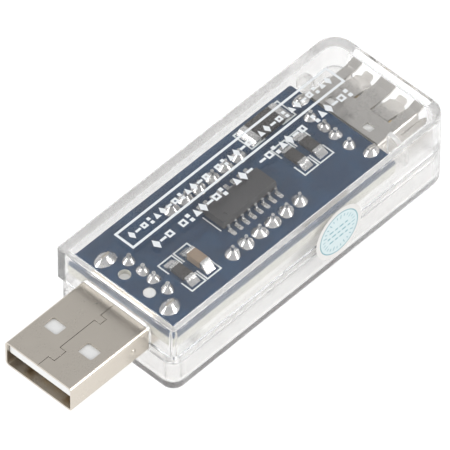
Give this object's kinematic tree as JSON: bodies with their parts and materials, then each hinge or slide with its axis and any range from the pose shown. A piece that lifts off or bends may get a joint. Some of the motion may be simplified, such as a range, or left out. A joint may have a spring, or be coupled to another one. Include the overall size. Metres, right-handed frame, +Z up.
{
  "type": "usb power meter",
  "caption": "Pass-through USB power meter: clear two-part case, stamped plug at one end, receptacle at the other, board with display inside.",
  "frame": {"origin": "centre of the bounding box on the plane that the meter rests on, display side down", "axes": "+X from the plug's tip to the socket, +Y across the case, +Z up through the printed cover"},
  "size_m": [0.0672, 0.0212, 0.0131],
  "materials": {
    "clear_cover": "clear moulded polystyrene, polished",
    "white_print": "white screen-printed ink",
    "seal_paper": "printed paper seal under a satin film",
    "board_blue": "blue solder mask over glass-fibre board",
    "board_ink": "white silkscreen ink",
    "nickel_steel": "nickel-plated stamped steel, fine rolled grain",
    "solder": "bright solder",
    "contact_gold": "gold-flashed brass",
    "white_plastic": "white glass-filled nylon",
    "display_white": "white display shell",
    "display_face": "dark satin display face",
    "display_segment": "red diffusing segments",
    "chip_black": "fine matt moulding compound",
    "tinned": "tinned metal",
    "capacitor_tan": "sintered ceramic, satin",
    "resistor_dark": "dark glazed ceramic"
  },
  "bodies": {
    "case": {"upper_cover": "clear_cover", "lower_cover": "clear_cover", "cover_print": "white_print", "seal_sticker": "seal_paper", "circuit_board": "board_blue", "board_print": "board_ink", "solder_pads": "solder", "plug_shell": "nickel_steel", "plug_insulator": "white_plastic", "plug_contacts": "contact_gold", "plug_solder": "solder", "socket_shell": "nickel_steel", "socket_insulator": "white_plastic", "socket_contact_tails": "contact_gold", "socket_solder": "solder", "display_housing": "display_white", "display_face": "display_face", "display_segments": "display_segment", "display_pins": "tinned", "display_solder": "solder", "microcontroller": "chip_black", "microcontroller_leads": "tinned", "shunt_resistor": "resistor_dark", "shunt_terminals": "tinned", "chip_capacitors": "capacitor_tan", "chip_resistors": "resistor_dark", "chip_terminals": "tinned", "chip_solder": "solder"},
    "contact_springs": {"socket_contact_springs": "contact_gold"},
    "upper_springs": {"upper_retention_springs": "nickel_steel"},
    "lower_springs": {"lower_retention_springs": "nickel_steel"}
  },
  "joints": [
    {"name": "contact_flex", "type": "hinge", "parent": "case", "child": "contact_springs", "pos_m": [0.0268, 0, 0.00692], "axis": [0, 1, 0], "range_deg": [0, 6], "stiffness_Nm_per_rad": 0.05},
    {"name": "upper_finger_flex", "type": "hinge", "parent": "case", "child": "upper_springs", "pos_m": [0.02785, 0, 0.01025], "axis": [0, -1, 0], "range_deg": [0, 4], "stiffness_Nm_per_rad": 0.3},
    {"name": "lower_finger_flex", "type": "hinge", "parent": "case", "child": "lower_springs", "pos_m": [0.02785, 0, 0.00485], "axis": [0, 1, 0], "range_deg": [0, 4], "stiffness_Nm_per_rad": 0.3}
  ]
}
